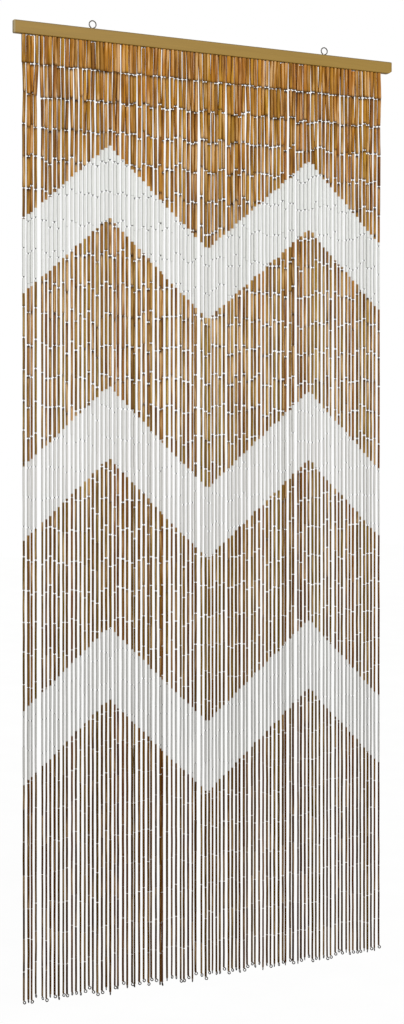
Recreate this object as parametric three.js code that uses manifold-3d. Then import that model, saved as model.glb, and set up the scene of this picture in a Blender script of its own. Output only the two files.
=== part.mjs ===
// Bamboo fly curtain: strands of thin bamboo tubes under a wooden rail that hangs by two screw eyes.
// Millimetres, +Z up. The origin is on the rail's top face, midway between the eyes.
// The front of the curtain faces -Y, and +X is to the right as seen from the front.
import * as THREE from 'three';
import { mergeVertices } from 'three/addons/utils/BufferGeometryUtils.js';
import Module from 'manifold-3d';

const wasm = await Module();
wasm.setup();

// Rail
const railLength = 896;
const railHeight = 26;
const railDepth = 13;

// What is planed off the rail's corners. In the front view the lower right one is cut back most,
// in plan the front right one. A cut is as wide as its across and as high, or as deep, as its up.
const easedCut = { across: 1, up: 1 };
const railFrontCuts = {
  lowerLeft: { across: 1.5, up: 1.5 },
  lowerRight: { across: 9, up: 5.5 },
  upperRight: easedCut,
  upperLeft: easedCut,
};
const railPlanCuts = {
  lowerLeft: { across: 3, up: 3 },
  lowerRight: { across: 7, up: 3 },
  upperRight: { across: 3, up: 3 },
  upperLeft: { across: 3, up: 3 },
};
const railSectionCuts = {
  lowerLeft: easedCut, lowerRight: easedCut, upperRight: easedCut, upperLeft: easedCut,
};

// Screw eyes
const eyeSpacing = 550;
const eyeOuterDiameter = 17.6;
const eyeWireDiameter = 2.4;
const eyeShankLength = 13;
const eyePointLength = 3;
const pilotHoleSides = 16;
// An odd number of sides puts a flat on the ring's inner wall, and a number of steps that leaves
// two over when divided by four puts one flat straight over the ring's centre.
const eyeSides = 9;
const eyeSteps = 26;

// Strands
const strandCount = 90;
const strandPitch = 9.44;
const strandsCentreX = -5;
const firstTubeLength = 55;
const tubeLength = 60.6;
const tubesInStrand = 31;
const tubeGap = 3;
const tubeLengthScatter = 1.3;
// The strands hang lower towards the right, the last one by this much.
const lastStrandLonger = 6;
const strandAcrossScatter = 1.15;
const strandBackScatter = 0.6;
const strandStagger = 0.7;

// Width across the tubes by the drop below the rail: the stoutest tubes hang at the top.
// Each strand is stouter or slimmer than that by up to the spread, a share of the width.
const strandWidths = [
  { drop: 0, width: 8.7, spread: 0.04 },
  { drop: 140, width: 7.9, spread: 0.08 },
  { drop: 650, width: 6.1, spread: 0.18 },
  { drop: 1180, width: 5.2, spread: 0.16 },
  { drop: 1950, width: 4.1, spread: 0.12 },
];
// A stray strand steps forwards or back by the drop in the second row. Its shift across, like the
// other strands' scatter, is full by the third row's drop.
const stepDrop = strandWidths[1].drop;
const scatterDrop = strandWidths[2].drop;

// Strands that hang off the even pitch: shift across, shift towards the back, and spare length.
const strayStrands = [
  { strand: 0, across: 0, back: 0, longer: 2 },
  { strand: 1, across: 0, back: 0, longer: 5 },
  { strand: 2, across: -1.4, back: 1.5, longer: 4 },
  { strand: 3, across: -3.5, back: -1.5, longer: -6 },
  { strand: 4, across: 2.1, back: 0, longer: -5 },
  { strand: 25, across: 1.9, back: -0.9, longer: 0 },
  { strand: 26, across: -0.7, back: 0.6, longer: 0 },
  { strand: 29, across: 1.2, back: -0.6, longer: 0 },
  { strand: 30, across: -0.7, back: 0.5, longer: 0 },
  { strand: 32, across: 0.5, back: -2.2, longer: 0 },
  { strand: 33, across: -3.2, back: 2.6, longer: 10 },
  { strand: 34, across: -1.9, back: 0, longer: 0 },
  { strand: 41, across: -1.4, back: 1.5, longer: 0 },
  { strand: 42, across: 3.1, back: 0, longer: 0 },
  { strand: 43, across: 3, back: 0, longer: 0 },
  { strand: 44, across: 2.4, back: 0, longer: 0 },
  { strand: 80, across: 1.8, back: 0, longer: 0 },
];

// End rings, as flat lozenges at the strands' tips, each a little to one side of its strand
const endRingDiameter = 8.2;
const endRingWire = 1.3;
const endRingDrop = 1.2;
const endRingAside = 1.6;

// Strip that the strands' roots are fused into
const stripHeight = 1.5;
const stripDepth = 6;
const stripOverhang = 1;

// Clearance between pieces that touch
const seatGap = 0.3;

const materials = {
  rail: new THREE.MeshStandardMaterial({ color: 0xa6894b, roughness: 0.45, metalness: 0 }),
  wire: new THREE.MeshStandardMaterial({ color: 0x8c8c8a, roughness: 0.3, metalness: 1 }),
  bamboo: new THREE.MeshStandardMaterial({ color: 0x9a6f40, roughness: 0.5, metalness: 0 }),
};

const right = new THREE.Vector3(1, 0, 0);
const back = new THREE.Vector3(0, 1, 0);
const up = new THREE.Vector3(0, 0, 1);
const quarterTurn = Math.PI / 2;

// A number from -1 to 1 that looks random but is always the same for the same index and kind.
const scatterKind = { across: 1, back: 2, tubeLength: 7, ringTurn: 4, width: 8 };
const scatterStep = 12.9898;
const scatterKindStep = 78.233;
const scatterSpread = 43758.5453;
function scatter(index, kind) {
  const wave = Math.sin(index * scatterStep + kind * scatterKindStep) * scatterSpread;
  return 2 * (wave - Math.floor(wave)) - 1;
}

// Solids

function solidFrom(geometry) {
  const bare = geometry.clone();
  bare.deleteAttribute('normal');
  bare.deleteAttribute('uv');
  const merged = mergeVertices(bare);
  return new wasm.Manifold(new wasm.Mesh({
    numProp: 3,
    vertProperties: new Float32Array(merged.attributes.position.array),
    triVerts: new Uint32Array(merged.index.array),
  }));
}

function geometryFrom(solid) {
  const mesh = solid.getMesh();
  const geometry = new THREE.BufferGeometry();
  geometry.setAttribute('position', new THREE.BufferAttribute(mesh.vertProperties, mesh.numProp));
  geometry.setIndex(new THREE.BufferAttribute(mesh.triVerts, 1));
  geometry.computeVertexNormals();
  return geometry;
}

function pieceFrom(name, solid, material) {
  const piece = new THREE.Mesh(geometryFrom(solid), material);
  piece.name = name;
  return piece;
}

// An outline pushed along the third direction, centred on the origin in that direction.
function prism(outline, length, outlineRight, outlineUp) {
  const geometry = new THREE.ExtrudeGeometry(outline, { depth: length, bevelEnabled: false });
  geometry.translate(0, 0, -length / 2);
  const along = new THREE.Vector3().crossVectors(outlineRight, outlineUp);
  geometry.applyMatrix4(new THREE.Matrix4().makeBasis(outlineRight, outlineUp, along));
  return geometry;
}

// A rectangle with its four corners cut off.
function cutCornerOutline({ width, top, bottom, cuts }) {
  const side = width / 2;
  const { lowerLeft, lowerRight, upperRight, upperLeft } = cuts;
  return new THREE.Shape([
    new THREE.Vector2(-side + lowerLeft.across, bottom),
    new THREE.Vector2(side - lowerRight.across, bottom),
    new THREE.Vector2(side, bottom + lowerRight.up),
    new THREE.Vector2(side, top - upperRight.up),
    new THREE.Vector2(side - upperRight.across, top),
    new THREE.Vector2(-side + upperLeft.across, top),
    new THREE.Vector2(-side, top - upperLeft.up),
    new THREE.Vector2(-side, bottom + lowerLeft.up),
  ]);
}

// Rail: the part that its front, plan and section outlines share, drilled for the two eyes.

function pilotHole(x) {
  const depth = eyeShankLength + seatGap;
  const radius = eyeWireDiameter / 2 + seatGap;
  const geometry = new THREE.CylinderGeometry(radius, radius, 2 * depth, pilotHoleSides);
  geometry.rotateX(quarterTurn);
  geometry.translate(x, 0, 0);
  return solidFrom(geometry);
}

function rail() {
  const front = cutCornerOutline({
    width: railLength, top: 0, bottom: -railHeight, cuts: railFrontCuts,
  });
  const plan = cutCornerOutline({
    width: railLength, top: railDepth / 2, bottom: -railDepth / 2, cuts: railPlanCuts,
  });
  const section = cutCornerOutline({
    width: railDepth, top: 0, bottom: -railHeight, cuts: railSectionCuts,
  });
  const solid = solidFrom(prism(front, railDepth, right, up))
    .intersect(solidFrom(prism(plan, 2 * railHeight, right, back)))
    .intersect(solidFrom(prism(section, railLength, back, up)))
    .subtract(pilotHole(-eyeSpacing / 2))
    .subtract(pilotHole(eyeSpacing / 2));
  return pieceFrom('rail', solid, materials.rail);
}

// Screw eyes: a ring of wire that stands on the rail, with its pointed shank in the pilot hole.

function screwEye(name, x) {
  const wire = eyeWireDiameter / 2;
  const ringRadius = eyeOuterDiameter / 2 - wire;
  const ringHeight = seatGap + eyeOuterDiameter / 2;
  const ring = new THREE.TorusGeometry(ringRadius, wire, eyeSides, eyeSteps);
  ring.rotateX(quarterTurn);
  ring.translate(0, 0, ringHeight);
  const shankTop = ringHeight - ringRadius;
  const shank = new THREE.LatheGeometry([
    new THREE.Vector2(0, -eyeShankLength),
    new THREE.Vector2(wire, -eyeShankLength + eyePointLength),
    new THREE.Vector2(wire, shankTop),
    new THREE.Vector2(0, shankTop),
  ], pilotHoleSides);
  shank.rotateX(quarterTurn);
  const eye = pieceFrom(name, solidFrom(ring).add(solidFrom(shank)), materials.wire);
  eye.position.x = x;
  return eye;
}

// Strands

const strays = new Map(strayStrands.map((stray) => [stray.strand, stray]));

function widthAt(strand, drop) {
  const last = strandWidths.length - 1;
  const next = strandWidths.findIndex((row) => row.drop > drop);
  const below = strandWidths[next < 0 ? last : next];
  const above = strandWidths[next < 0 ? last - 1 : next - 1];
  const share = Math.min(1, (drop - above.drop) / (below.drop - above.drop));
  const width = THREE.MathUtils.lerp(above.width, below.width, share);
  const spread = THREE.MathUtils.lerp(above.spread, below.spread, share);
  return width * (1 + spread * scatter(strand, scatterKind.width));
}

// Where a strand's middle lies, across and in depth, at a drop below the rail's underside.
function strandMiddle(strand, drop) {
  const stray = strays.get(strand) ?? { across: 0, back: 0 };
  const shifted = THREE.MathUtils.smoothstep(drop, 0, scatterDrop);
  const stepped = THREE.MathUtils.smoothstep(drop, 0, stepDrop);
  const even = (strand - (strandCount - 1) / 2) * strandPitch;
  const stagger = strand % 2 === 0 ? strandStagger : -strandStagger;
  const loose = strays.has(strand) ? 0 : shifted;
  return {
    x: strandsCentreX + even + shifted * stray.across
      + loose * strandAcrossScatter * scatter(strand, scatterKind.across),
    y: stagger + stepped * stray.back
      + loose * strandBackScatter * scatter(strand, scatterKind.back),
  };
}

// A strand is as long as its tubes and the gaps between them.
function tubesEnd(strand) {
  const trend = lastStrandLonger * strand / (strandCount - 1);
  let end = tubeGap + trend + (strays.get(strand)?.longer ?? 0);
  for (let tube = 0; tube < tubesInStrand; tube += 1) {
    const plain = tube === 0 ? firstTubeLength : tubeLength;
    const index = strand * tubesInStrand + tube;
    end += plain + tubeLengthScatter * scatter(index, scatterKind.tubeLength);
    if (tube > 0) end += tubeGap;
  }
  return end;
}

// A strand's levels: the drop, the turn about the vertical, the size along and across that turn,
// and how far the level stands to the side of the strand's middle.
function strandLevels(strand) {
  const end = tubesEnd(strand);
  const root = seatGap + stripHeight / 2;
  const drops = [root, ...strandWidths.slice(1, -1).map((row) => row.drop), end];
  const straight = { x: 0, y: 0 };
  const levels = drops.map((drop) => {
    const width = widthAt(strand, drop);
    return { drop, turn: 0, along: width, across: width, aside: straight };
  });
  // The ring's plane may stand at any angle, but the levels are joined over the smaller turn.
  const plane = quarterTurn * scatter(strand, scatterKind.ringTurn);
  const edgeOn = Math.abs(plane) > quarterTurn / 2;
  const turn = edgeOn ? plane - Math.sign(plane) * quarterTurn : plane;
  const along = edgeOn ? endRingWire : endRingDiameter;
  const across = edgeOn ? endRingDiameter : endRingWire;
  const ringTop = end + endRingDrop;
  const aside = { x: endRingAside * Math.cos(plane), y: endRingAside * Math.sin(plane) };
  const tip = { turn, along: endRingWire, across: endRingWire, aside };
  levels.push({ ...tip, drop: ringTop, aside: straight });
  levels.push({ ...tip, drop: ringTop + endRingDiameter / 2, along, across });
  levels.push({ ...tip, drop: ringTop + endRingDiameter });
  return levels;
}

// Four corners at each level, joined by flat sides, with a cap at either end.
function strand(index) {
  const sides = 4;
  const levels = strandLevels(index);
  const points = [];
  for (const level of levels) {
    const middle = strandMiddle(index, level.drop);
    for (let side = 0; side < sides; side += 1) {
      const reach = (side % 2 === 0 ? level.along : level.across) / 2;
      const angle = level.turn + side * quarterTurn;
      points.push(
        middle.x + level.aside.x + reach * Math.cos(angle),
        middle.y + level.aside.y + reach * Math.sin(angle),
        -railHeight - level.drop,
      );
    }
  }
  const triangles = [0, 1, 2, 0, 2, 3];
  for (let level = 0; level < levels.length - 1; level += 1) {
    for (let side = 0; side < sides; side += 1) {
      const a = level * sides + side;
      const b = level * sides + (side + 1) % sides;
      triangles.push(a, a + sides, b, b, a + sides, b + sides);
    }
  }
  const last = (levels.length - 1) * sides;
  triangles.push(last, last + 2, last + 1, last, last + 3, last + 2);
  const geometry = new THREE.BufferGeometry();
  geometry.setAttribute('position', new THREE.Float32BufferAttribute(points, 3));
  geometry.setIndex(triangles);
  return solidFrom(geometry);
}

function strands() {
  const width = (strandCount - 1) * strandPitch + strandWidths[0].width + 2 * stripOverhang;
  const strip = new THREE.BoxGeometry(width, stripDepth, stripHeight);
  strip.translate(strandsCentreX, 0, -railHeight - seatGap - stripHeight / 2);
  const hung = Array.from({ length: strandCount }, (_, index) => strand(index));
  return pieceFrom('strands', wasm.Manifold.union([solidFrom(strip), ...hung]), materials.bamboo);
}

const curtain = new THREE.Group();
curtain.add(rail());
curtain.add(screwEye('left_eye', -eyeSpacing / 2));
curtain.add(screwEye('right_eye', eyeSpacing / 2));
curtain.add(strands());

export default curtain;
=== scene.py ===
# The looks of a bamboo fly curtain: its tubes, wire, end rings, screw eyes and rail. Metres, +Z up.
import math
import random

import bmesh
import bpy
from mathutils import Matrix, Vector


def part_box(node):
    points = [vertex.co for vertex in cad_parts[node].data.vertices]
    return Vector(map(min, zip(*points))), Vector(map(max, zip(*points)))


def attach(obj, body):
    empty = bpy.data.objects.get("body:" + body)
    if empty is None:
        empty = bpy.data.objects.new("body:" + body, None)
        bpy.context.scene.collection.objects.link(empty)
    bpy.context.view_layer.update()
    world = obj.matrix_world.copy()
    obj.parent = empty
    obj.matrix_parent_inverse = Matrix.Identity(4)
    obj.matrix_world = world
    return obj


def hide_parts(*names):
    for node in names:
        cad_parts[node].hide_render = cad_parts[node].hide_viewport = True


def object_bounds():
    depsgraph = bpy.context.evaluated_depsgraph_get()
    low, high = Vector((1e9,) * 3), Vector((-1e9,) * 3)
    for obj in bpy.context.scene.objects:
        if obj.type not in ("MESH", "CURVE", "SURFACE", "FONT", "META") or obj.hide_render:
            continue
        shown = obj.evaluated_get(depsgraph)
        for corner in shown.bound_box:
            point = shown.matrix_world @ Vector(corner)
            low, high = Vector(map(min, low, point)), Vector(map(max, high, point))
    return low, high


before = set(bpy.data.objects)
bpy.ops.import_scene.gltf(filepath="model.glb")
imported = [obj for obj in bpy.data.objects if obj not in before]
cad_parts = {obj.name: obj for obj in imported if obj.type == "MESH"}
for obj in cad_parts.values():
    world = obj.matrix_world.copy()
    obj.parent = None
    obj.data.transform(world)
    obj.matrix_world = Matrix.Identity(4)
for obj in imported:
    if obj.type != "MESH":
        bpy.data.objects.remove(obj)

MM = 0.001
CAD_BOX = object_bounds()
RAIL_LOW, RAIL_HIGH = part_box("rail")
RAIL_UNDERSIDE = RAIL_LOW.z
LONGEST_DROP = RAIL_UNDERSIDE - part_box("strands")[0].z

# Strands, with the same sizes as the frame's strands
STRAND_COUNT = 90
STRAND_PITCH = 9.44 * MM
STRANDS_CENTRE_X = -5 * MM
STRAND_ACROSS_SCATTER = 1.15 * MM
STRAND_BACK_SCATTER = 0.6 * MM
# Every other strand hangs this far behind the middle, and the ones between as far in front.
STRAND_STAGGER = 0.7 * MM
FIRST_TUBE_LENGTH = 55 * MM
TUBE_LENGTH = 60.6 * MM
TUBES_IN_STRAND = 31
TUBE_GAP = 3 * MM
TUBE_LENGTH_SCATTER = 1.3 * MM
# The strands hang lower towards the right, the last one by this much.
LAST_STRAND_LONGER = 6 * MM

# Width across a strand by the drop below the rail, its spread from strand to strand, and how much
# of it the round tubes fill
STRAND_WIDTHS = (
    {"drop": 0, "width": 8.7 * MM, "spread": 0.04, "fullness": 1.07},
    {"drop": 140 * MM, "width": 7.9 * MM, "spread": 0.08, "fullness": 0.95},
    {"drop": 650 * MM, "width": 6.1 * MM, "spread": 0.18, "fullness": 0.93},
    {"drop": 1180 * MM, "width": 5.2 * MM, "spread": 0.16, "fullness": 0.96},
    {"drop": 1950 * MM, "width": 4.1 * MM, "spread": 0.12, "fullness": 1.06},
)
# Strands that hang off the even pitch: shift across, shift towards the back, and spare length. They
# are fully shifted at the first drop below, and the other strands' scatter is full at the second.
STEP_DROP = STRAND_WIDTHS[1]["drop"]
SCATTER_DROP = STRAND_WIDTHS[2]["drop"]
STRAYS = {
    0: {"across": 0, "back": 0, "longer": 2 * MM},
    1: {"across": 0, "back": 0, "longer": 5 * MM},
    2: {"across": -1.4 * MM, "back": 1.5 * MM, "longer": 4 * MM},
    3: {"across": -3.5 * MM, "back": -1.5 * MM, "longer": -6 * MM},
    4: {"across": 2.1 * MM, "back": 0, "longer": -5 * MM},
    25: {"across": 1.9 * MM, "back": -0.9 * MM, "longer": 0},
    26: {"across": -0.7 * MM, "back": 0.6 * MM, "longer": 0},
    29: {"across": 1.2 * MM, "back": -0.6 * MM, "longer": 0},
    30: {"across": -0.7 * MM, "back": 0.5 * MM, "longer": 0},
    32: {"across": 0.5 * MM, "back": -2.2 * MM, "longer": 0},
    33: {"across": -3.2 * MM, "back": 2.6 * MM, "longer": 10 * MM},
    34: {"across": -1.9 * MM, "back": 0, "longer": 0},
    41: {"across": -1.4 * MM, "back": 1.5 * MM, "longer": 0},
    42: {"across": 3.1 * MM, "back": 0, "longer": 0},
    43: {"across": 3 * MM, "back": 0, "longer": 0},
    44: {"across": 2.4 * MM, "back": 0, "longer": 0},
    80: {"across": 1.8 * MM, "back": 0, "longer": 0},
}
ON_PITCH = {"across": 0, "back": 0, "longer": 0}

# How single tubes differ by chance: in width by the first share at the rail, falling to the second
# at the drop that follows, and anywhere in roundness and in the length that they are cut to
HIGH_WIDTH_SCATTER = 0.09
LOW_WIDTH_SCATTER = 0.03
EVEN_DROP = 1500 * MM
TUBE_OUT_OF_ROUND = 0.06
TUBE_CUT_SCATTER = 5.5 * MM
# The first tubes hang close under the rail, but for a few that hang lower.
FIRST_GAP_RANGE = (0.1 * MM, 0.4 * MM)
LOW_FIRST_GAP = 2.6 * MM
LOW_FIRST_SHARE = 0.13
# The gap between two tubes by the drop below the rail, and the share of joints that hang closed
JOINT_GAPS = (
    {"drop": 0, "least": 0.4 * MM, "usual": 2.6 * MM, "most": 4 * MM, "closed": 0.4},
    {"drop": 220 * MM, "least": 1.2 * MM, "usual": 2.8 * MM, "most": 4 * MM, "closed": 0.2},
    {"drop": 1100 * MM, "least": 1.2 * MM, "usual": 2.5 * MM, "most": 3.8 * MM, "closed": 0.1},
    {"drop": 1550 * MM, "least": 0.2 * MM, "usual": 0.3 * MM, "most": 2.4 * MM, "closed": 0},
    {"drop": 1950 * MM, "least": 0.2 * MM, "usual": 0.3 * MM, "most": 2.8 * MM, "closed": 0},
)
CLOSED_GAP = 0.3 * MM
# A joint swings off its strand's middle line, more near the rail, where the stout tubes jostle, and
# hardly at all from the steady drop down. The staples leave it only a share of the swing.
HIGH_SWAY = {"across": 1.7 * MM, "back": 1.4 * MM}
LOW_SWAY = {"across": 0.15 * MM, "back": 0.3 * MM}
STEADY_DROP = 320 * MM
SHARE_AT_STAPLES = 0.4
# Near the rail the strands also hang in bunches: the first has its own size, the others any size
# from the smaller to the larger. The strands of a bunch hang closer to each other by the squeeze,
# which fades out down to the bunches' drop.
FIRST_BUNCH = 4
BUNCH_SIZES = (2, 6)
BUNCH_SQUEEZE = 0.6 * MM
BUNCH_DROP = 420 * MM
# Tubes that would then meet are pushed apart in rounds, because each push can crowd the next strand.
TUBE_CLEARANCE = 0.1 * MM
PUSH_ROUNDS = 6

# A tube's shape. An end's eased edge reaches in by the rounding, a share of half the tube's width,
# and down by the edge, a share of its length. The bore's width is a share of the tube's width, and
# its depth of the tube's length. A tube bows sideways by no more than the bow.
TUBE_SIZES = {
    "Sides": 8,
    "Rounding": 0.14,
    "Edge": 0.008,
    "Bore": 0.5,
    "Bore Depth": 0.05,
    "Bow": 0.35 * MM,
    "Seed": 1,
}
# The right half's tubes have a seed of their own, and so has the way in which the strands hang.
RIGHT_HALF_SEED = 11
STRAND_SEED = 20

# Wire: the loops at the tubes' ends, the staples under the rail, and the end rings. Widths and
# heights run to the middle of the wire. The steps and sides are those of its bend and of its round.
LINK_SIZES = {
    "Width": 2.4 * MM,
    "Height": 2.8 * MM,
    "Wire": 1 * MM,
    "Opening": math.radians(40),
    "Steps": 9,
    "Sides": 4,
}
STAPLE_SIZES = {
    "Width": 2.6 * MM,
    "Height": 5 * MM,
    "Wire": 0.8 * MM,
    "Opening": math.radians(70),
    "Steps": 15,
    "Sides": 6,
}
END_RING_OUTER_DIAMETER = 7.7 * MM
END_RING_WIRE = 2.1 * MM
END_RING_SIZES = {
    "Width": END_RING_OUTER_DIAMETER - END_RING_WIRE,
    "Height": END_RING_OUTER_DIAMETER - END_RING_WIRE,
    "Wire": END_RING_WIRE,
    "Opening": math.radians(14),
    "Steps": 25,
    "Sides": 6,
}
# Where a strand's first loop hangs in its staple, inside the first tube's end
HOOK_DROP = 1.4 * MM
# An end ring's top is level with the last tube's end, this far above the strand's last joint.
END_RING_RISE = 0.5 * MM
END_RING_ASIDE = 1.6 * MM
END_RING_TILT = math.radians(9)

# Rail: how far the bevel at its left end reaches along its front, and how far its edges are eased
RAIL_END_BEVEL = 2.8 * MM
RAIL_EASING = 0.35 * MM

# Screw eyes
EYE_OUTER_DIAMETER = 17.6 * MM
EYE_WIRE = 2.4 * MM
EYE_SHANK_LENGTH = 13 * MM
EYE_POINT_LENGTH = 3 * MM
EYE_POINT_WIDTH = 0.4 * MM
EYE_BEND = 1.2 * MM
EYE_OPENING = math.radians(22)
EYE_THREAD_PITCH = 1.1 * MM
EYE_THREAD_WIDTH = EYE_WIRE / 7
SEAT_GAP = 0.3 * MM

# White paint: three zigzag bands. Their top edges turn at these strands, at these drops, and shift a
# little from strand to strand.
BAND_TURNS = (
    {"strand": 0, "first": 377 * MM, "second": 881 * MM, "third": 1379 * MM},
    {"strand": 19.6, "first": 213 * MM, "second": 715 * MM, "third": 1217 * MM},
    {"strand": 43.7, "first": 419 * MM, "second": 932 * MM, "third": 1433 * MM},
    {"strand": 70.1, "first": 212 * MM, "second": 720 * MM, "third": 1225 * MM},
    {"strand": 89, "first": 384 * MM, "second": 893 * MM, "third": 1405 * MM},
)
BAND_HEIGHT = 151 * MM
BAND_EDGE_SCATTER = 5 * MM

# Camera, at the photograph's viewpoint, and studio. The one lamp shines from straight in front, a
# little from above.
CAMERA_PLACE = Vector((-1.4851, -3.1285, -0.8449))
CAMERA_YAW = math.radians(25.027)
CAMERA_DIP = math.radians(0.089)
CAMERA_LENS = 56.66
CAMERA_SHIFT = -0.0719
FLOOR_DROP = 250 * MM
FLOOR_SIZE = 30
BACKGROUND_BRIGHTNESS = 1.0
SURROUND_BRIGHTNESS = 0.48
LAMP_STRENGTH = 2.25
LAMP_ELEVATION = math.radians(18)
LAMP_SIZE = math.radians(16)
FLOOR_GLOW = 0.91


class Value:
    """A node's output. Arithmetic on it adds Math nodes to its graph."""

    def __init__(self, graph, socket):
        self.graph = graph
        self.socket = socket

    def __getitem__(self, name):
        return Value(self.graph, self.socket.node.outputs[name])

    def __add__(self, other):
        return self.graph.math("ADD", self, other)

    def __radd__(self, other):
        return self.graph.math("ADD", other, self)

    def __sub__(self, other):
        return self.graph.math("SUBTRACT", self, other)

    def __rsub__(self, other):
        return self.graph.math("SUBTRACT", other, self)

    def __mul__(self, other):
        return self.graph.math("MULTIPLY", self, other)

    def __rmul__(self, other):
        return self.graph.math("MULTIPLY", other, self)

    def __truediv__(self, other):
        return self.graph.math("DIVIDE", self, other)

    def __gt__(self, other):
        return self.graph.math("GREATER_THAN", self, other)

    def __lt__(self, other):
        return self.graph.math("LESS_THAN", self, other)


class Graph:
    """A node tree while it is being put together, for a shape or for a finish."""

    def __init__(self, tree):
        self.tree = tree

    def node(self, kind, settings=None, inputs=None):
        """Adds a node: first its settings, then the values or links of its sockets."""
        made = self.tree.nodes.new(kind)
        for name, setting in (settings or {}).items():
            if name == "stops":
                self.set_stops(made.color_ramp, setting)
            else:
                setattr(made, name, setting)
        for name, value in (inputs or {}).items():
            socket = self.socket_of(made, name)
            if isinstance(value, Value):
                self.tree.links.new(value.socket, socket)
            else:
                socket.default_value = value
        shown = [output for output in made.outputs if output.enabled]
        return Value(self, shown[0]) if shown else None

    @staticmethod
    def socket_of(node, name):
        """An input by its number, or by its name among those that the node's settings leave in use."""
        if isinstance(name, int):
            return node.inputs[name]
        return next(socket for socket in node.inputs if socket.enabled and socket.name == name)

    @staticmethod
    def set_stops(ramp, stops):
        while len(ramp.elements) < len(stops):
            ramp.elements.new(1)
        for element, (place, colour) in zip(ramp.elements, stops):
            element.position = place
            element.color = colour

    def math(self, operation, *terms):
        return self.node("ShaderNodeMath", {"operation": operation}, dict(enumerate(terms)))

    def vector(self, operation, *terms):
        return self.node("ShaderNodeVectorMath", {"operation": operation}, dict(enumerate(terms)))

    def scaled(self, vector, factor):
        return self.node("ShaderNodeVectorMath", {"operation": "SCALE"}, {0: vector, "Scale": factor})

    def parts(self, vector):
        """A vector's X, Y and Z, as three values."""
        split = self.node("ShaderNodeSeparateXYZ", inputs={"Vector": vector})
        return split["X"], split["Y"], split["Z"]

    def joined(self, x, y, z):
        return self.node("ShaderNodeCombineXYZ", inputs={"X": x, "Y": y, "Z": z})

    def smooth(self, value, start, end):
        """0 below the start, 1 above the end, and a soft rise between them."""
        return self.node(
            "ShaderNodeMapRange",
            {"interpolation_type": "SMOOTHSTEP"},
            {"Value": value, "From Min": start, "From Max": end},
        )


class ShapeGraph(Graph):
    """A Geometry Nodes tree with a named input for each of its sizes."""

    def __init__(self, name, sizes):
        super().__init__(bpy.data.node_groups.new(name, "GeometryNodeTree"))
        sockets = self.tree.interface
        sockets.new_socket("Geometry", in_out="INPUT", socket_type="NodeSocketGeometry")
        for label, size in sizes.items():
            kind = "NodeSocketInt" if isinstance(size, int) else "NodeSocketFloat"
            sockets.new_socket(label, in_out="INPUT", socket_type=kind)
        sockets.new_socket("Geometry", in_out="OUTPUT", socket_type="NodeSocketGeometry")
        self.given = self.node("NodeGroupInput")

    def attribute(self, name, data_type="FLOAT_VECTOR"):
        return self.node("GeometryNodeInputNamedAttribute", {"data_type": data_type}, {"Name": name})

    def store(self, geometry, name, value, data_type="FLOAT"):
        return self.node(
            "GeometryNodeStoreNamedAttribute",
            {"data_type": data_type, "domain": "POINT"},
            {"Geometry": geometry, "Name": name, "Value": value},
        )

    def chance(self, low, high, salt):
        """A number that differs from point to point, and from salt to salt."""
        return self.node(
            "FunctionNodeRandomValue",
            {"data_type": "FLOAT"},
            {"Min": low, "Max": high, "Seed": self.given["Seed"] + salt},
        )

    def moved(self, geometry, **place):
        return self.node("GeometryNodeSetPosition", inputs={"Geometry": geometry, **place})

    def wire(self, path, thickness, sides):
        """A round wire along a path."""
        section = self.node(
            "GeometryNodeCurvePrimitiveCircle", inputs={"Resolution": sides, "Radius": thickness / 2}
        )
        return self.node(
            "GeometryNodeCurveToMesh",
            inputs={"Curve": path, "Profile Curve": section, "Fill Caps": True},
        )

    def placed(self, points, shape, side_axis, scale):
        """A copy of the shape on each point: its Z on the point's axis, its side axis on its side."""
        rotation = self.node(
            "FunctionNodeAxesToRotation",
            {"primary_axis": "Z", "secondary_axis": side_axis},
            {"Primary Axis": self.attribute("axis"), "Secondary Axis": self.attribute("side")},
        )
        copies = self.node(
            "GeometryNodeInstanceOnPoints",
            inputs={"Points": points, "Instance": shape, "Rotation": rotation, "Scale": scale},
        )
        return self.node("GeometryNodeRealizeInstances", inputs={"Geometry": copies})

    def finish(self, geometry, material):
        smooth = self.node("GeometryNodeSetShadeSmooth", inputs={"Geometry": geometry})
        painted = self.node(
            "GeometryNodeSetMaterial", inputs={"Geometry": smooth, "Material": material}
        )
        self.node("NodeGroupOutput", inputs={"Geometry": painted})
        return self.tree


class FinishGraph(Graph):
    """A material's nodes, around one Principled shader."""

    def __init__(self, name):
        self.material = bpy.data.materials.new(name)
        self.material.use_nodes = True
        super().__init__(self.material.node_tree)
        self.tree.nodes.clear()
        self.place = self.node("ShaderNodeTexCoord")["Object"]

    def attribute(self, name):
        return self.node("ShaderNodeAttribute", {"attribute_name": name})["Fac"]

    def noise(self, stretch, shift=0.0, detail=3):
        """Noise whose scale differs along X, Y and Z, in repeats a metre."""
        shifted = self.vector("MULTIPLY_ADD", self.place, stretch, self.joined(shift, shift, shift))
        return self.node(
            "ShaderNodeTexNoise",
            inputs={"Vector": shifted, "Scale": 1, "Detail": detail, "Roughness": 0.55},
        )

    def chance(self, number):
        """0 to 1, always the same for the same number."""
        return self.node("ShaderNodeTexWhiteNoise", {"noise_dimensions": "1D"}, {"W": number})

    def mix(self, factor, first, second, blend="MIX"):
        return self.node(
            "ShaderNodeMix",
            {"data_type": "RGBA", "blend_type": blend},
            {"Factor": factor, "A": first, "B": second},
        )

    def ramp(self, value, stops):
        """A colour that changes with a value, by (place, colour) stops."""
        return self.node("ShaderNodeValToRGB", {"stops": stops}, {"Fac": value})

    def bump(self, height, depth, strength):
        return self.node(
            "ShaderNodeBump", inputs={"Height": height, "Distance": depth, "Strength": strength}
        )

    def finish(self, **surface):
        """Feeds the shader: an input's name is written with _ for each space."""
        inputs = {name.replace("_", " "): value for name, value in surface.items()}
        shader = self.node("ShaderNodeBsdfPrincipled", inputs=inputs)
        self.node("ShaderNodeOutputMaterial", inputs={"Surface": shader})
        return self.material


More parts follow.
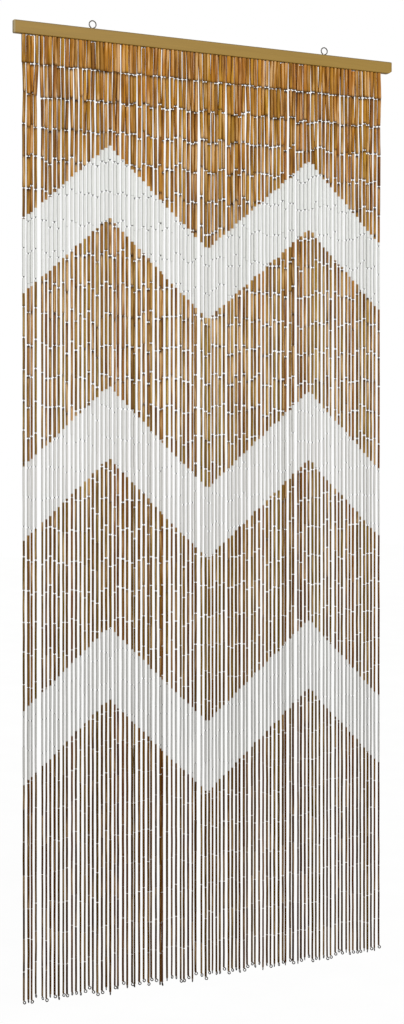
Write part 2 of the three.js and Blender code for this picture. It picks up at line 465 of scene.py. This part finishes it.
def colour(red, green, blue):
    """A linear colour from the 0 to 255 values that a screen shows."""
    shares = (part / 255 for part in (red, green, blue))
    linear = (s / 12.92 if s <= 0.04045 else ((s + 0.055) / 1.055) ** 2.4 for s in shares)
    return (*linear, 1)


# Finishes


def bamboo_finish():
    """Steamed bamboo: scorched ends, sawn hollow cuts, painted shade, and white bands painted across it.
    """
    graph = FinishGraph("bamboo")
    drop = RAIL_UNDERSIDE - graph.parts(graph.place)[2]
    low = graph.smooth(drop, 500 * MM, 1500 * MM)
    fibres = graph.noise((1600, 1600, 40), graph.attribute("tone") * 90)
    painted = paint_mask(graph, drop)
    cane, paint = cane_colour(graph, drop, low, fibres), paint_colour(graph, drop, fibres)
    coated = graph.mix(painted, cane, paint)
    # Scorch and painted shade at the tube ends, on bare tubes only.
    scorch_shade_mask = (1 - painted) * scorched_and_shaded_ends(graph, drop, low)
    coat_with_scorch_and_shade = graph.mix(scorch_shade_mask, coated, colour(62, 38, 14))
    # The sawn end round the bore: bare wood colour on bare tubes, and dark grey painted shade on painted
    # tubes, for the shade in their joints.
    cut = graph.mix(painted, colour(142, 100, 56), colour(54, 46, 38))
    bore = graph.attribute("bore")
    sawn = graph.mix(graph.smooth(bore, 0, 0.3), coat_with_scorch_and_shade, cut)
    # Painted shade: the bore's rim and sunk centre are coloured near black, for the shade deep inside
    # the hollow.
    surface = graph.mix(graph.smooth(bore, 0.7, 1), sawn, colour(24, 17, 12))
    return graph.finish(
        Base_Color=surface,
        Roughness=0.4 + fibres * 0.12 + painted * 0.1,
        Specular_IOR_Level=0.06,
        Normal=graph.bump(fibres, 0.08 * MM, 0.6),
    )


def cane_colour(graph, drop, low, fibres):
    """Bare cane, pale near the rail and dark below, with streaks that are fainter on the low tubes.

    Each tube has its own tone and tint, and so has each strand. Lower down the tubes of a strand are
    more alike, and the strands differ more.
    """
    plain = graph.ramp(
        drop / LONGEST_DROP,
        [
            (0, colour(168, 115, 41)),
            (0.07, colour(162, 112, 42)),
            (0.3, colour(146, 109, 56)),
            (0.55, colour(105, 74, 24)),
            (0.8, colour(72, 45, 5)),
            (1, colour(61, 38, 4)),
        ],
    )
    tone, tint = graph.attribute("tone"), graph.attribute("tint")
    strand = graph.math("ROUND", graph.attribute("strand"))
    # What is added to the strand's number keeps its tone, its tint and its paint's edge apart.
    strand_tone = graph.chance(strand + 100.3) * 2 - 1
    strand_tint = graph.chance(strand + 200.7) * 2 - 1
    varied = graph.smooth(drop, 150 * MM, 900 * MM)
    streaks = graph.noise((250, 250, 10), tone * 40, detail=2)
    cane = graph.node(
        "ShaderNodeHueSaturation",
        inputs={
            "Hue": 0.5 + tint * 0.006 + strand_tint * (0.006 + varied * 0.014)
            + (tone + strand_tone) * 0.003,
            "Saturation": 1 + tone * 0.012 + strand_tone * 0.012,
            "Value": 1.01 + tone * (0.17 - low * 0.13) + strand_tone * (0.14 + low * 0.18)
            + (streaks - 0.5) * 1.4,
            "Color": plain,
        },
    )
    clear = 1 - low * 0.7
    dark_streaks = (1 - graph.smooth(streaks, 0.34, 0.46)) * clear * 0.8
    pale_streaks = graph.smooth(streaks, 0.53, 0.64) * clear * 0.66
    cane = graph.mix(dark_streaks, cane, colour(92, 53, 19))
    cane = graph.mix(pale_streaks, cane, colour(214, 178, 128))
    return graph.mix(1, cane, 0.6 + fibres * 0.8, "MULTIPLY")


def paint_colour(graph, drop, fibres):
    """White paint, greyer on the lower bands. The fibres show through it a little."""
    paint = graph.ramp(
        drop / LONGEST_DROP,
        [(0.15, colour(224, 225, 221)), (0.45, colour(206, 205, 201)), (0.7, colour(179, 178, 174))],
    )
    return graph.mix(1, paint, 0.95 + (fibres - 0.5) * 0.2, "MULTIPLY")


def scorched_and_shaded_ends(graph, drop, low):
    """How much a tube's ends are darkened: scorched at both, and at the upper one also painted shade
    under the joint, reaching further in. Less low down, and not at the rail.
    """
    along, burn = graph.attribute("along"), graph.attribute("burn")
    from_end = (0.5 - graph.math("ABSOLUTE", along - 0.5)) * TUBE_LENGTH
    from_top = (1 - along) * TUBE_LENGTH
    both_ends = (1 - graph.smooth(from_end, 0.5 * MM, 6 * MM)) * (0.15 + burn * 0.45)
    # Partly char and partly painted shade: the upper end darkens further in, under the joint above.
    upper_scorch_and_shade = (1 - graph.smooth(from_top, 2 * MM, 9 * MM)) * burn * 0.45
    clear_of_rail = graph.smooth(drop, 20 * MM, 40 * MM)
    return (both_ends + upper_scorch_and_shade) * (clear_of_rail - low * 0.8)


def paint_mask(graph, drop):
    """1 on the three zigzag bands. Each strand's part of a band has level edges."""
    strand = graph.math("ROUND", graph.attribute("strand"))
    shift = (graph.chance(strand) - 0.5) * BAND_EDGE_SCATTER
    mask = 0
    for band in ("first", "second", "third"):
        below = drop - shift - zigzag(graph, strand, band)
        mask = mask + (below > 0) * (below < BAND_HEIGHT)
    return mask


def zigzag(graph, strand, band):
    """The drop of a band's top edge on a strand: it runs straight from one turn to the next."""
    edge = BAND_TURNS[0][band]
    for turn, following in zip(BAND_TURNS, BAND_TURNS[1:]):
        edge = edge + graph.node(
            "ShaderNodeMapRange",
            inputs={
                "Value": strand,
                "From Min": turn["strand"],
                "From Max": following["strand"],
                "To Min": 0,
                "To Max": following[band] - turn[band],
            },
        )
    return edge


def link_finish():
    """The loops' wire: bright between bare tubes, and dark grey between painted ones as painted shade in
    their joints.
    """
    graph = FinishGraph("link_steel")
    drop = RAIL_UNDERSIDE - graph.parts(graph.place)[2]
    streaks = wire_streaks(graph)
    bright = graph.ramp(streaks, [(0.3, colour(168, 160, 148)), (0.7, colour(196, 190, 180))])
    # Painted shade: inside the white bands the wire is dark grey, for the shade in the joints there.
    wire = graph.mix(paint_mask(graph, drop), bright, colour(40, 36, 32))
    return wire_finish(graph, streaks, wire, metal=0.3, dullness=0.4)


def steel_finish(name, dark, bright, metal, dullness):
    """Drawn steel wire, its streaks between a dark and a bright tone."""
    graph = FinishGraph(name)
    streaks = wire_streaks(graph)
    wire = graph.ramp(streaks, [(0.3, colour(*dark)), (0.7, colour(*bright))])
    return wire_finish(graph, streaks, wire, metal, dullness)


def wire_streaks(graph):
    return graph.noise((2500, 2500, 2500), detail=2)


def wire_finish(graph, streaks, wire, metal, dullness):
    return graph.finish(
        Base_Color=wire,
        Metallic=metal,
        Roughness=dullness + streaks * 0.2,
        Normal=graph.bump(streaks, 0.02 * MM, 0.5),
    )


def rail_finish():
    """Golden tan varnish over fine wood grain, darker along the top edge, paler on the left end."""
    graph = FinishGraph("rail_wood")
    across, _, height = graph.parts(graph.place)
    grain = graph.noise((14, 500, 500), detail=4)
    bands = graph.noise((3, 90, 90), detail=2)
    wood = graph.ramp(
        grain * 0.6 + bands * 0.4,
        [(0.3, colour(141, 110, 43)), (0.5, colour(147, 116, 47)), (0.7, colour(153, 121, 52))],
    )
    top_edge = graph.smooth(height, RAIL_HIGH.z - 2.8 * MM, RAIL_HIGH.z - 1.2 * MM)
    varnished = graph.mix(top_edge * 0.7, wood, colour(106, 92, 58))
    from_left = across - RAIL_LOW.x
    # The left end and the bevel beside it are paler.
    pale_left_end = 1 - graph.smooth(from_left, RAIL_END_BEVEL, RAIL_END_BEVEL + 0.3 * MM)
    return graph.finish(
        Base_Color=graph.mix(pale_left_end, varnished, colour(172, 153, 112)),
        Roughness=0.45 + grain * 0.12,
        Specular_IOR_Level=0.3,
        Coat_Weight=0.05,
        Normal=graph.bump(grain, 0.05 * MM, 0.4),
    )


def floor_finish():
    """A dull floor that glows enough to look nearly white."""
    graph = FinishGraph("pale_floor")
    grain = graph.noise((6, 6, 6), detail=2)
    return graph.finish(
        Base_Color=graph.ramp(grain, [(0.3, colour(94, 94, 93)), (0.7, colour(100, 100, 99))]),
        Roughness=0.7,
        Specular_IOR_Level=0,
        Emission_Color=(1, 1, 1, 1),
        Emission_Strength=FLOOR_GLOW,
    )


# Where the strands hang


# What a scatter is for. These numbers, and those of the wave, are the same for the frame's strands.
ACROSS, BACK, RING_TURN, LENGTH, WIDTH = 1, 2, 4, 7, 8


def scatter(index, kind):
    """A number from -1 to 1 that looks random but is always the same for the same index and kind."""
    wave = math.sin(index * 12.9898 + kind * 78.233) * 43758.5453
    return 2 * (wave - math.floor(wave)) - 1


def smoothstep(value, start, end):
    share = min(1, max(0, (value - start) / (end - start)))
    return share * share * (3 - 2 * share)


def lerp(first, second, share):
    return first + (second - first) * share


def at_drop(rows, drop):
    """A table's columns at a drop below the rail, in between its rows."""
    following = next((i for i, row in enumerate(rows) if row["drop"] > drop), len(rows) - 1)
    above, below = rows[following - 1], rows[following]
    share = min(1, max(0, drop - above["drop"]) / (below["drop"] - above["drop"]))
    return {column: lerp(above[column], below[column], share) for column in above}


def tube_width_at(strand, drop):
    size = at_drop(STRAND_WIDTHS, drop)
    return size["width"] * size["fullness"] * (1 + size["spread"] * scatter(strand, WIDTH))


def strand_middle(strand, drop):
    """The point on a strand's middle line at a drop below the rail."""
    stray = STRAYS.get(strand, ON_PITCH)
    stepped = smoothstep(drop, 0, STEP_DROP)
    loose = 0 if strand in STRAYS else smoothstep(drop, 0, SCATTER_DROP)
    even = (strand - (STRAND_COUNT - 1) / 2) * STRAND_PITCH
    stagger = STRAND_STAGGER if strand % 2 == 0 else -STRAND_STAGGER
    return Vector((
        STRANDS_CENTRE_X + even + stepped * stray["across"]
        + loose * STRAND_ACROSS_SCATTER * scatter(strand, ACROSS),
        stagger + stepped * stray["back"] + loose * STRAND_BACK_SCATTER * scatter(strand, BACK),
        RAIL_UNDERSIDE - drop,
    ))


def joint_drops(strand, chance):
    """The drops of a strand's joints, from the rail to its end ring. Its tubes differ in length."""
    tubes = range(TUBES_IN_STRAND)
    cuts = [chance.uniform(-TUBE_CUT_SCATTER, TUBE_CUT_SCATTER) if tube else 0 for tube in tubes]
    evened = sum(cuts) / (TUBES_IN_STRAND - 1)
    trend = LAST_STRAND_LONGER * strand / (STRAND_COUNT - 1)
    longer = (trend + STRAYS.get(strand, ON_PITCH)["longer"]) / TUBES_IN_STRAND
    drops = [0]
    for tube in tubes:
        own = TUBE_LENGTH_SCATTER * scatter(strand * TUBES_IN_STRAND + tube, LENGTH) + longer
        if tube == 0:
            own += FIRST_TUBE_LENGTH + TUBE_GAP / 2
        else:
            own += TUBE_LENGTH + cuts[tube] - evened
        drops.append(drops[-1] + own + TUBE_GAP)
    return drops


def bunch_leans(chance):
    """How far each strand leans across, towards the middle of its bunch."""
    leans = []
    while len(leans) < STRAND_COUNT:
        size = chance.randint(*BUNCH_SIZES) if leans else FIRST_BUNCH
        leans += [((size - 1) / 2 - place) * BUNCH_SQUEEZE for place in range(size)]
    return leans[:STRAND_COUNT]


def hang_strand(strand, lean, chance):
    """A strand's joints, swung a little off its middle line, and the widths of its tubes."""
    joints, widths = [], []
    for drop in joint_drops(strand, chance):
        steady = smoothstep(drop, FIRST_TUBE_LENGTH, STEADY_DROP)
        free = lerp(SHARE_AT_STAPLES, 1, smoothstep(drop, 0, FIRST_TUBE_LENGTH))
        across = lerp(HIGH_SWAY["across"], LOW_SWAY["across"], steady) * free
        back = lerp(HIGH_SWAY["back"], LOW_SWAY["back"], steady) * free
        swing = Vector((chance.uniform(-across, across), chance.uniform(-back, back), 0))
        bunched = free * (1 - smoothstep(drop, FIRST_TUBE_LENGTH, BUNCH_DROP))
        joints.append(strand_middle(strand, drop) + swing + Vector((lean * bunched, 0, 0)))
    for upper, lower in zip(joints, joints[1:]):
        drop = RAIL_UNDERSIDE - (upper.z + lower.z) / 2
        own = lerp(HIGH_WIDTH_SCATTER, LOW_WIDTH_SCATTER, min(1, drop / EVEN_DROP))
        widths.append(tube_width_at(strand, drop) * (1 + chance.uniform(-own, own)))
    return {"joints": joints, "widths": widths}


def push_apart(one, other):
    """Moves the joints of two neighbouring strands apart where their tubes would meet."""
    for number, joint in enumerate(one["joints"]):
        nearest = min(range(len(other["joints"])), key=lambda n: abs(other["joints"][n].z - joint.z))
        facing = other["joints"][nearest]
        width = max(one["widths"][max(0, number - 1):number + 1])
        facing_width = max(other["widths"][max(0, nearest - 1):nearest + 1])
        apart = Vector((facing.x - joint.x, facing.y - joint.y, 0))
        short = (width + facing_width) / 2 + TUBE_CLEARANCE - apart.length
        if short > 0:
            push = apart.normalized() * short / 2
            joint -= push
            facing += push


def hang_all_strands(chance):
    """All the strands, the crowded ones pushed apart."""
    leans = bunch_leans(chance)
    strands = [hang_strand(strand, lean, chance) for strand, lean in enumerate(leans)]
    for _ in range(PUSH_ROUNDS):
        for one, other in zip(strands, strands[1:]):
            push_apart(one, other)
    return strands


def any_side(chance):
    """A level direction, turned any way."""
    angle = chance.uniform(-math.pi, math.pi)
    return Vector((math.cos(angle), math.sin(angle), 0))


def joint_gap(drop, chance):
    """How far apart the two tubes at a joint hang."""
    gap = at_drop(JOINT_GAPS, drop)
    wide = chance.triangular(gap["least"], gap["most"], gap["usual"])
    return CLOSED_GAP if chance.random() < gap["closed"] else wide


def tubes_of(number, strand, chance):
    """A strand's tubes: middle, direction up the tube, side, size, and the strand's number."""
    tubes = []
    joints = strand["joints"]
    half_gaps = [joint_gap(RAIL_UNDERSIDE - joint.z, chance) / 2 for joint in joints]
    half_gaps[-1] = END_RING_RISE
    half_gaps[0] = chance.uniform(*FIRST_GAP_RANGE)
    if chance.random() < LOW_FIRST_SHARE:
        half_gaps[0] = LOW_FIRST_GAP
    for tube, width in enumerate(strand["widths"]):
        upper, lower = joints[tube], joints[tube + 1]
        axis = (upper - lower).normalized()
        top = upper - axis * half_gaps[tube]
        bottom = lower + axis * half_gaps[tube + 1]
        depth = width * (1 + chance.uniform(-TUBE_OUT_OF_ROUND, TUBE_OUT_OF_ROUND))
        tubes.append({
            "place": (top + bottom) / 2,
            "axis": axis,
            "side": any_side(chance),
            "size": Vector((width, depth, (top - bottom).length)),
            "strand": float(number),
        })
    return tubes


def hook_of(joints):
    """Where a strand's first loop hangs in its staple."""
    return joints[0] + (joints[1] - joints[0]).normalized() * HOOK_DROP


def links_of(number, joints):
    """The wire loops at both ends of each tube. At a joint the two loops stand square to each other."""
    inside = (LINK_SIZES["Height"] - LINK_SIZES["Wire"]) / 2
    links = []
    for tube in range(TUBES_IN_STRAND):
        axis = (joints[tube] - joints[tube + 1]).normalized()
        upper = joints[tube] if tube else hook_of(joints)
        links.append({
            "place": upper - axis * inside,
            "axis": -axis,
            "side": Vector((1, 0, 0)),
            "strand": float(number),
        })
        # The last loop hangs lower, round the end ring's wire.
        is_last = tube == TUBES_IN_STRAND - 1
        ring = END_RING_WIRE if is_last else 0
        links.append({
            "place": joints[tube + 1] + axis * (inside - ring),
            "axis": axis,
            "side": end_ring_plane(number) if is_last else Vector((0, 1, 0)),
            "strand": float(number),
        })
    return links


def end_ring_plane(strand):
    """The level direction along a strand's end ring. The loop that carries it stands square to it."""
    angle = math.pi / 2 * scatter(strand, RING_TURN)
    return Vector((math.cos(angle), math.sin(angle), 0))


def end_ring_of(number, joints, chance):
    """The ring at a strand's end, a little aside and tilted, with its opening turned anywhere."""
    up = Vector((0, 0, 1))
    along = end_ring_plane(number)
    through = along.cross(up)
    tilt = Matrix.Rotation(chance.uniform(-END_RING_TILT, END_RING_TILT), 3, along)
    opening = Matrix.Rotation(chance.uniform(-math.pi, math.pi), 3, through)
    fall = END_RING_OUTER_DIAMETER / 2 - END_RING_RISE
    return {
        "place": joints[-1] + along * END_RING_ASIDE - up * fall,
        "axis": tilt @ opening @ up,
        "side": tilt @ through,
    }


def staple_of(joints):
    """The staple that a strand's first loop hangs in, its legs up in the rail."""
    rise = Vector((0, 0, (STAPLE_SIZES["Height"] - STAPLE_SIZES["Wire"]) / 2))
    return {"place": hook_of(joints) + rise, "axis": Vector((0, 0, 1)), "side": Vector((0, 1, 0))}


# Growing pieces from points


def point_mesh(name, rows):
    """A mesh of loose points, one for each row, with the row's other columns as attributes."""
    mesh = bpy.data.meshes.new(name)
    mesh.from_pydata([row["place"] for row in rows], [], [])
    for column in rows[0]:
        if column == "place":
            continue
        if isinstance(rows[0][column], Vector):
            values = [part for row in rows for part in row[column]]
            mesh.attributes.new(column, "FLOAT_VECTOR", "POINT").data.foreach_set("vector", values)
        else:
            values = [row[column] for row in rows]
            mesh.attributes.new(column, "FLOAT", "POINT").data.foreach_set("value", values)
    return mesh


def grow(name, rows, tree, sizes):
    """A plain mesh object: the tree's shape on each row's point."""
    piece = bpy.data.objects.new(name, point_mesh(name, rows))
    bpy.context.collection.objects.link(piece)
    modifier = piece.modifiers.new("grow", "NODES")
    modifier.node_group = tree
    for socket in tree.interface.items_tree:
        if socket.in_out == "INPUT" and socket.name in sizes:
            modifier[socket.identifier] = sizes[socket.name]
    depsgraph = bpy.context.evaluated_depsgraph_get()
    grown = bpy.data.meshes.new_from_object(
        piece.evaluated_get(depsgraph), preserve_all_data_layers=True, depsgraph=depsgraph
    )
    piece.modifiers.remove(modifier)
    piece.data = grown
    return piece


def tube_tree(sizes, material):
    """Tubes with eased end edges and a bore sunk into each end.

    The blank has a ring of corners at its middle and three more towards each end: they become the
    start of the eased edge, the edge of the cut, and the bore's rim. The end's centre sinks.
    """
    graph = ShapeGraph("tubes", sizes)
    given = graph.given
    levels = 6
    blank = graph.node(
        "GeometryNodeMeshCylinder",
        {"fill_type": "TRIANGLE_FAN"},
        {"Vertices": given["Sides"], "Side Segments": levels, "Radius": 0.5, "Depth": 1.0},
    )
    x, y, z = graph.parts(graph.node("GeometryNodeInputPosition"))
    level = graph.math("ROUND", graph.math("ABSOLUTE", z) * levels)
    off_middle, on_edge, on_rim = level > 0.5, level > 1.5, level > 2.5
    at_centre = x * x + y * y < 0.01
    radius = 1 - on_edge * given["Rounding"] - on_rim * (1 - given["Rounding"] - given["Bore"])
    height = off_middle / 2 - (off_middle - on_edge) * given["Edge"] - at_centre * given["Bore Depth"]
    z = height * graph.math("SIGN", z)
    # The edges round the ends stay crisp, the ones along the tube are shaded smooth.
    edge = graph.node("GeometryNodeInputMeshEdgeVertices")
    heights = [graph.parts(edge[end])[2] for end in ("Position 1", "Position 2")]
    level_edge = graph.math("ABSOLUTE", heights[0] - heights[1]) < 0.01
    crisp = graph.node(
        "GeometryNodeSetShadeSmooth",
        {"domain": "EDGE"},
        {
            "Geometry": blank,
            "Selection": level_edge * (graph.math("ABSOLUTE", heights[0]) > 0.1),
            "Shade Smooth": False,
        },
    )
    marked = graph.store(crisp, "along", z + 0.5)
    marked = graph.store(marked, "bore", on_rim)
    tube = graph.moved(marked, Position=graph.joined(x * radius, y * radius, z))

    turn = graph.chance(-math.pi, math.pi, salt=1)
    bow = graph.scaled(
        graph.joined(graph.math("COSINE", turn), graph.math("SINE", turn), 0.0),
        graph.chance(0.1, 1.0, salt=2) * given["Bow"],
    )
    points = graph.store(given["Geometry"], "bow", bow, "FLOAT_VECTOR")
    points = graph.store(points, "tone", graph.chance(-1.0, 1.0, salt=3))
    points = graph.store(points, "tint", graph.chance(-1.0, 1.0, salt=4))
    points = graph.store(points, "burn", graph.chance(0.0, 1.0, salt=5))
    tubes = graph.placed(points, tube, "X", graph.attribute("size"))
    off_centre = graph.attribute("along", "FLOAT") * 2 - 1
    belly = graph.scaled(graph.attribute("bow"), 1 - off_centre * off_centre)
    return graph.finish(graph.moved(tubes, Offset=belly), material)


def loop_tree(name, sizes, material):
    """Oval wire loops, open towards their point's axis."""
    graph = ShapeGraph(name, sizes)
    given = graph.given
    arc = graph.node(
        "GeometryNodeCurveArc",
        inputs={
            "Resolution": given["Steps"],
            "Radius": 0.5,
            "Start Angle": math.pi / 2 + given["Opening"] / 2,
            "Sweep Angle": 2 * math.pi - given["Opening"],
        },
    )
    x, y, _ = graph.parts(graph.node("GeometryNodeInputPosition"))
    upright = graph.joined(x * given["Width"], 0.0, y * given["Height"])
    path = graph.moved(arc, Position=upright)
    loop = graph.wire(path, given["Wire"], given["Sides"])
    loops = graph.placed(given["Geometry"], loop, "Y", (1, 1, 1))
    return graph.finish(loops, material)


# Screw eyes and rail


def swept(name, path, radii):
    """A wire as a plain mesh, along a path of points and as thick as the radii say."""
    curve = bpy.data.curves.new(name, "CURVE")
    curve.dimensions = "3D"
    curve.bevel_depth = 1
    curve.bevel_resolution = 4
    curve.use_fill_caps = True
    spline = curve.splines.new("POLY")
    spline.points.add(len(path) - 1)
    for point, place, radius in zip(spline.points, path, radii):
        point.co = (*place, 1)
        point.radius = radius
    holder = bpy.data.objects.new(name, curve)
    mesh = bpy.data.meshes.new_from_object(holder)
    bpy.data.objects.remove(holder)
    return mesh


def eye_path():
    """From the point of the shank up to the rail, round a tight bend, and round the ring."""
    ring_radius = (EYE_OUTER_DIAMETER - EYE_WIRE) / 2
    ring_height = SEAT_GAP + EYE_OUTER_DIAMETER / 2
    straight = ring_height - ring_radius - EYE_BEND
    path = [Vector((0, 0, -EYE_SHANK_LENGTH)), Vector((0, 0, EYE_POINT_LENGTH - EYE_SHANK_LENGTH))]
    radii = [EYE_POINT_WIDTH / 2, EYE_WIRE / 2]
    bend_steps = 6
    for step in range(bend_steps + 1):
        angle = math.pi / 2 * step / bend_steps
        path.append(Vector((
            EYE_BEND * (1 - math.cos(angle)), 0, straight + EYE_BEND * math.sin(angle),
        )))
    ring_steps = 44
    first = math.asin(EYE_BEND / ring_radius)
    last = 2 * math.pi - EYE_OPENING
    for step in range(1, ring_steps + 1):
        angle = first + (last - first) * step / ring_steps
        path.append(Vector((
            ring_radius * math.sin(angle), 0, ring_height - ring_radius * math.cos(angle),
        )))
    radii += [EYE_WIRE / 2] * (len(path) - len(radii))
    return path, radii


def thread_path():
    """A screw thread up the shank."""
    steps = 16
    rise = EYE_SHANK_LENGTH - EYE_POINT_LENGTH - EYE_THREAD_PITCH
    turns = rise / EYE_THREAD_PITCH
    count = int(turns * steps)
    path = []
    for step in range(count + 1):
        angle = 2 * math.pi * step / steps
        path.append(Vector((
            EYE_WIRE / 2 * math.cos(angle),
            EYE_WIRE / 2 * math.sin(angle),
            EYE_POINT_LENGTH - EYE_SHANK_LENGTH + rise * step / count,
        )))
    return path, [EYE_THREAD_WIDTH / 2] * len(path)


def screw_eye(node, material):
    """A screw eye in the place of a node of the frame."""
    low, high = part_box(node)
    name = node + "_wire"
    form = bmesh.new()
    for part in (swept(name, *eye_path()), swept(name, *thread_path())):
        form.from_mesh(part)
        bpy.data.meshes.remove(part)
    bmesh.ops.translate(form, verts=form.verts, vec=((low.x + high.x) / 2, 0, 0))
    mesh = bpy.data.meshes.new(name)
    form.to_mesh(mesh)
    form.free()
    mesh.materials.append(material)
    mesh.shade_smooth()
    mesh.set_sharp_from_angle(angle=math.radians(50))
    piece = bpy.data.objects.new(name, mesh)
    bpy.context.collection.objects.link(piece)
    return piece


def rail_bar(material):
    """The rail with its edges eased: the frame's own shape, made one skin."""
    form = bmesh.new()
    form.from_mesh(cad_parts["rail"].data)
    bmesh.ops.remove_doubles(form, verts=form.verts, dist=0.001 * MM)
    corners = [corner.co for corner in form.verts]
    faces = [[corner.index for corner in face.verts] for face in form.faces]
    mesh = bpy.data.meshes.new("rail_bar")
    mesh.from_pydata(corners, [], faces)
    form.free()
    mesh.materials.append(material)
    mesh.shade_smooth()
    piece = bpy.data.objects.new("rail_bar", mesh)
    bpy.context.collection.objects.link(piece)
    bevel = piece.modifiers.new("eased_edges", "BEVEL")
    bevel.width = RAIL_EASING
    bevel.segments = 2
    bevel.limit_method = "ANGLE"
    bevel.angle_limit = math.radians(30)
    piece.modifiers.new("flat_faces", "WEIGHTED_NORMAL")
    return piece


# Studio


def place_camera():
    """A camera at the photograph's angle."""
    camera = bpy.data.objects.new("camera", bpy.data.cameras.new("camera"))
    bpy.context.collection.objects.link(camera)
    camera.location = CAMERA_PLACE
    camera.rotation_euler = (math.pi / 2 - CAMERA_DIP, 0, -CAMERA_YAW)
    camera.data.lens = CAMERA_LENS
    camera.data.shift_y = CAMERA_SHIFT
    bpy.context.scene.camera = camera


def light_studio():
    """A white room: pure white to look at, dimmer as a light, with one broad soft lamp in front."""
    scene = bpy.context.scene
    scene.view_settings.view_transform = "Standard"
    world = bpy.data.worlds.new("studio")
    world.use_nodes = True
    world.node_tree.nodes.clear()
    scene.world = world
    graph = Graph(world.node_tree)
    seen = graph.node("ShaderNodeLightPath")["Is Camera Ray"]
    strength = SURROUND_BRIGHTNESS + seen * (BACKGROUND_BRIGHTNESS - SURROUND_BRIGHTNESS)
    white = graph.node("ShaderNodeBackground", inputs={"Color": (1, 1, 1, 1), "Strength": strength})
    graph.node("ShaderNodeOutputWorld", inputs={"Surface": white})

    lamp = bpy.data.objects.new("soft_lamp", bpy.data.lights.new("soft_lamp", "SUN"))
    bpy.context.collection.objects.link(lamp)
    lamp.data.energy = LAMP_STRENGTH
    lamp.data.angle = LAMP_SIZE
    towards_lamp = Vector((0, -math.cos(LAMP_ELEVATION), math.sin(LAMP_ELEVATION)))
    lamp.rotation_euler = towards_lamp.to_track_quat("Z", "Y").to_euler()


def lay_floor():
    """A pale floor that the curtain hangs clear of. It doesn't throw light back up at the curtain."""
    half = FLOOR_SIZE / 2
    level = CAD_BOX[0].z - FLOOR_DROP
    mesh = bpy.data.meshes.new("floor")
    corners = [(-half, -half, level), (half, -half, level), (half, half, level), (-half, half, level)]
    mesh.from_pydata(corners, [], [(0, 1, 2, 3)])
    mesh.materials.append(floor_finish())
    floor = bpy.data.objects.new("floor", mesh)
    bpy.context.collection.objects.link(floor)
    floor.visible_diffuse = False
    floor.visible_glossy = False


# The curtain


def hang(piece, slot, *nodes):
    """Fixes a piece to the curtain's one body, in the place of nodes of the frame."""
    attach(piece, "root")
    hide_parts(*nodes)


def hang_loops(name, rows, sizes, steel):
    loops = grow(name, rows, loop_tree(name, sizes, steel), sizes)
    hang(loops, "steel_wire", "strands")


def hang_tubes_and_links(strands, bamboo, steel, chance):
    """The tubes and their loops, a left and a right half of each, because they have many faces."""
    tubes = tube_tree(TUBE_SIZES, bamboo)
    middle = STRAND_COUNT // 2
    for half, numbers, seed in (
        ("left", range(middle), TUBE_SIZES["Seed"]),
        ("right", range(middle, STRAND_COUNT), RIGHT_HALF_SEED),
    ):
        rows = [row for n in numbers for row in tubes_of(n, strands[n], chance)]
        hang(grow("tubes_" + half, rows, tubes, {**TUBE_SIZES, "Seed": seed}), "bamboo", "strands")
        rows = [row for n in numbers for row in links_of(n, strands[n]["joints"])]
        hang_loops("links_" + half, rows, LINK_SIZES, steel)


def hang_strands(bamboo, link_steel, ring_steel, staple_steel):
    """All the strands: their tubes and loops, then the end rings below and the staples above."""
    chance = random.Random(STRAND_SEED)
    strands = hang_all_strands(chance)
    hang_tubes_and_links(strands, bamboo, link_steel, chance)
    rings = [end_ring_of(n, strand["joints"], chance) for n, strand in enumerate(strands)]
    hang_loops("end_rings", rings, END_RING_SIZES, ring_steel)
    staples = [staple_of(strand["joints"]) for strand in strands]
    hang_loops("staples", staples, STAPLE_SIZES, staple_steel)


place_camera()
light_studio()
lay_floor()
wire_steel = steel_finish("steel_wire", (72, 68, 62), (110, 105, 98), metal=0.9, dullness=0.3)
staple_steel = steel_finish("staple_steel", (88, 66, 38), (120, 94, 60), metal=0.4, dullness=0.4)
ring_steel = steel_finish("ring_steel", (30, 25, 20), (50, 42, 34), metal=0.2, dullness=0.45)
hang_strands(bamboo_finish(), link_finish(), ring_steel, staple_steel)
hang(rail_bar(rail_finish()), "rail_wood", "rail")
for eye in ("left_eye", "right_eye"):
    hang(screw_eye(eye, wire_steel), "steel_wire", eye)
